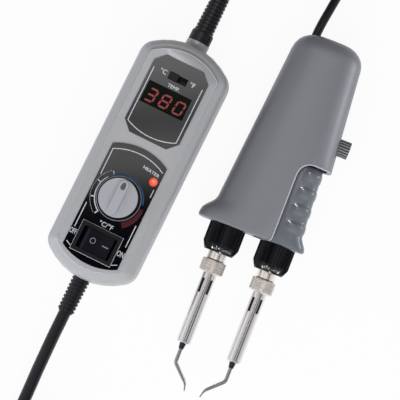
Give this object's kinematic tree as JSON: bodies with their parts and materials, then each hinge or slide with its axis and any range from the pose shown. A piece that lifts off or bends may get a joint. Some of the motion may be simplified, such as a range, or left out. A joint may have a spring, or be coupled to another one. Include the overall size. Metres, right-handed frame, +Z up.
{
  "type": "soldering tweezers",
  "caption": "Corded soldering tweezers: a grey squeeze handle with twin hot arms and bent tips, and an in-line temperature controller with display, dial, lamp and rocker switch.",
  "frame": {"origin": "middle of the handpiece and the controller together, on the bench that they lie on", "axes": "+Z up from the bench; +Y along the handpiece from its tips towards its cord; +X from the controller towards the handpiece"},
  "size_m": [0.1402, 0.4237, 0.0385],
  "materials": {
    "case": "satin",
    "label": "satin",
    "display": "gloss",
    "black_plastic": "satin",
    "gloss_black": "gloss",
    "silver_cap": "satin",
    "lamp": "gloss",
    "board": "satin",
    "chip": "matt",
    "screw": "satin",
    "relief": "satin",
    "cord": "satin",
    "plug": "satin",
    "pins": "plated",
    "housing": "satin",
    "lever": "satin",
    "steel": "polished",
    "nickel": "knurled",
    "brass": "satin",
    "ceramic": "matt",
    "ferrule": "matt",
    "spread": "satin"
  },
  "bodies": {
    "housings": {"case_top": "case", "case_bottom": "case", "case_screws": "screw", "display_label": "label", "control_label": "label", "display_module": "chip", "display_window": "display", "unit_switch_body": "screw", "pot_body": "screw", "heater_lamp": "lamp", "switch_frame": "black_plastic", "circuit_board": "board", "board_screws": "screw", "triac": "chip", "control_chip": "chip", "mains_strain_relief": "relief", "tool_strain_relief": "relief", "mains_cord_lead": "cord", "mains_cord_coil": "cord", "mains_cord_tail": "cord", "mains_plug": "plug", "plug_pins": "pins", "tool_cord_lead": "cord", "tool_cord_coil": "cord", "tool_cord_tail": "cord", "handle_top": "housing", "handle_bottom": "housing", "handle_screws": "screw", "cord_clamp": "black_plastic", "clamp_screws": "screw", "lever_pin": "steel", "return_spring": "steel", "fixed_socket": "brass", "fixed_collar": "gloss_black", "fixed_neck": "nickel", "fixed_nut": "nickel", "fixed_sleeve": "steel", "fixed_heater": "ceramic", "fixed_ferrule": "ferrule", "fixed_tip": "steel"},
    "lever": {"squeeze_lever": "lever", "moving_socket": "brass", "moving_collar": "gloss_black", "moving_neck": "nickel", "moving_nut": "nickel", "moving_sleeve": "steel", "moving_heater": "ceramic", "moving_ferrule": "ferrule", "moving_tip": "steel"},
    "dial": {"temperature_knob": "black_plastic", "knob_cap": "silver_cap", "pot_shaft": "brass"},
    "power_rocker": {"switch_rocker": "gloss_black"},
    "unit_slider": {"unit_switch_slider": "black_plastic"},
    "spread_dial": {"spread_knob": "spread", "spread_spindle": "steel", "spread_cam": "brass"}
  },
  "joints": [
    {"name": "lever_squeeze", "type": "hinge", "parent": "housings", "child": "lever", "pos_m": [0.0438, 0.0598, 0.014], "axis": [0, 0, -1], "range_deg": [0, 2.7], "stiffness_Nm_per_rad": 2, "springref_deg": -2.86, "deforming": ["return_spring"]},
    {"name": "temperature_dial", "type": "hinge", "parent": "housings", "child": "dial", "pos_m": [-0.03498, -0.01752, 0.03], "axis": [0, 0, 1], "range_deg": [-135, 135]},
    {"name": "power_rocker_tilt", "type": "hinge", "parent": "housings", "child": "power_rocker", "pos_m": [-0.03708, -0.04153, 0.0273], "axis": [-0.0872, -0.9962, 0], "range_deg": [0, 26]},
    {"name": "unit_switch_slide", "type": "slide", "parent": "housings", "child": "unit_slider", "axis": [0.9962, -0.0872, 0], "range_m": [0, 0.0046]},
    {"name": "spread_turn", "type": "hinge", "parent": "housings", "child": "spread_dial", "pos_m": [0.0548, 0.0458, 0.014], "axis": [1, 0, 0], "range_deg": [0, 300]}
  ]
}
